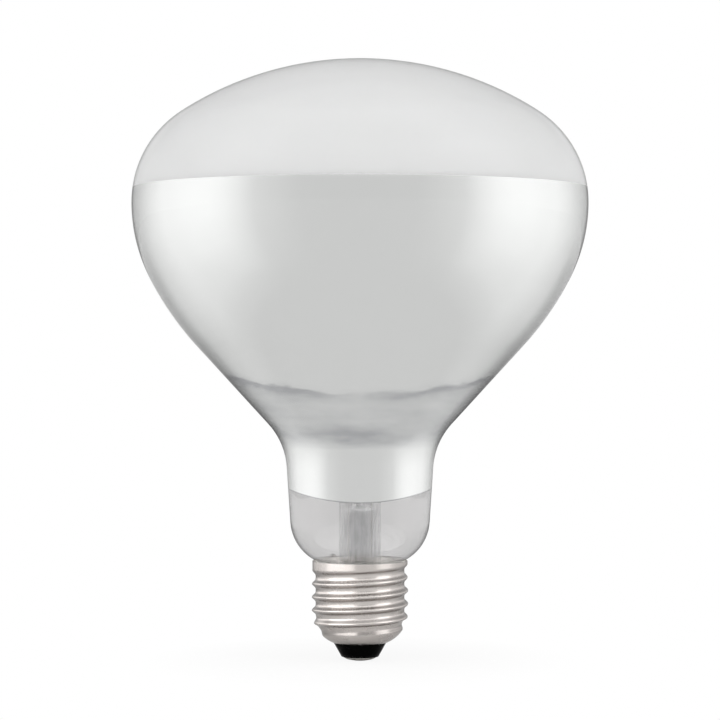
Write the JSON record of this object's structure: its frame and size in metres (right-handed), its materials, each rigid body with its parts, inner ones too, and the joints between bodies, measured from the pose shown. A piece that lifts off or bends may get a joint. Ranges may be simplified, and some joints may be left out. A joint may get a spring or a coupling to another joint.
{
  "type": "infrared heat lamp bulb",
  "caption": "Reflector heat lamp bulb with a mirrored and frosted glass envelope, a clear neck showing the glass stem, and a rolled nickel screw cap.",
  "frame": {"origin": "the flat of the solder on the centre contact, on the lamp's axis", "axes": "+Z along the lamp's axis from the cap to the crown; +X to the right and -Y to the viewer in the picture's view"},
  "size_m": [0.125, 0.125, 0.1646],
  "materials": {
    "clear_glass": "clear blown glass, smooth",
    "mirror": "bright vapour-deposited aluminium, slightly soft",
    "frosting": "fine white diffusing powder, matt",
    "nickel": "nickel-plated rolled brass, satin",
    "black_glass": "opaque black moulded glass, glossy",
    "solder": "tin solder, dull with a smooth skin",
    "cement": "baked basing cement, matt",
    "copper": "drawn copper wire",
    "lead_wire": "drawn nickel wire",
    "hook_wire": "drawn molybdenum wire",
    "tungsten": "coiled tungsten wire"
  },
  "bodies": {
    "root": {"envelope": "clear_glass", "mirror_film": "mirror", "frosted_lining": "frosting", "stem_tube": "clear_glass", "exhaust_tube": "clear_glass", "support_rod": "clear_glass", "inner_lead_left": "lead_wire", "inner_lead_right": "lead_wire", "seal_wire_left": "copper", "seal_wire_right": "copper", "outer_lead_side": "copper", "outer_lead_centre": "copper", "support_wire_1": "hook_wire", "support_wire_2": "hook_wire", "support_wire_3": "hook_wire", "support_wire_4": "hook_wire", "support_wire_5": "hook_wire", "filament": "tungsten", "screw_shell": "nickel", "insulator": "black_glass", "centre_contact": "nickel", "centre_solder": "solder", "side_solder": "solder", "cement_ring": "cement"}
  },
  "joints": []
}
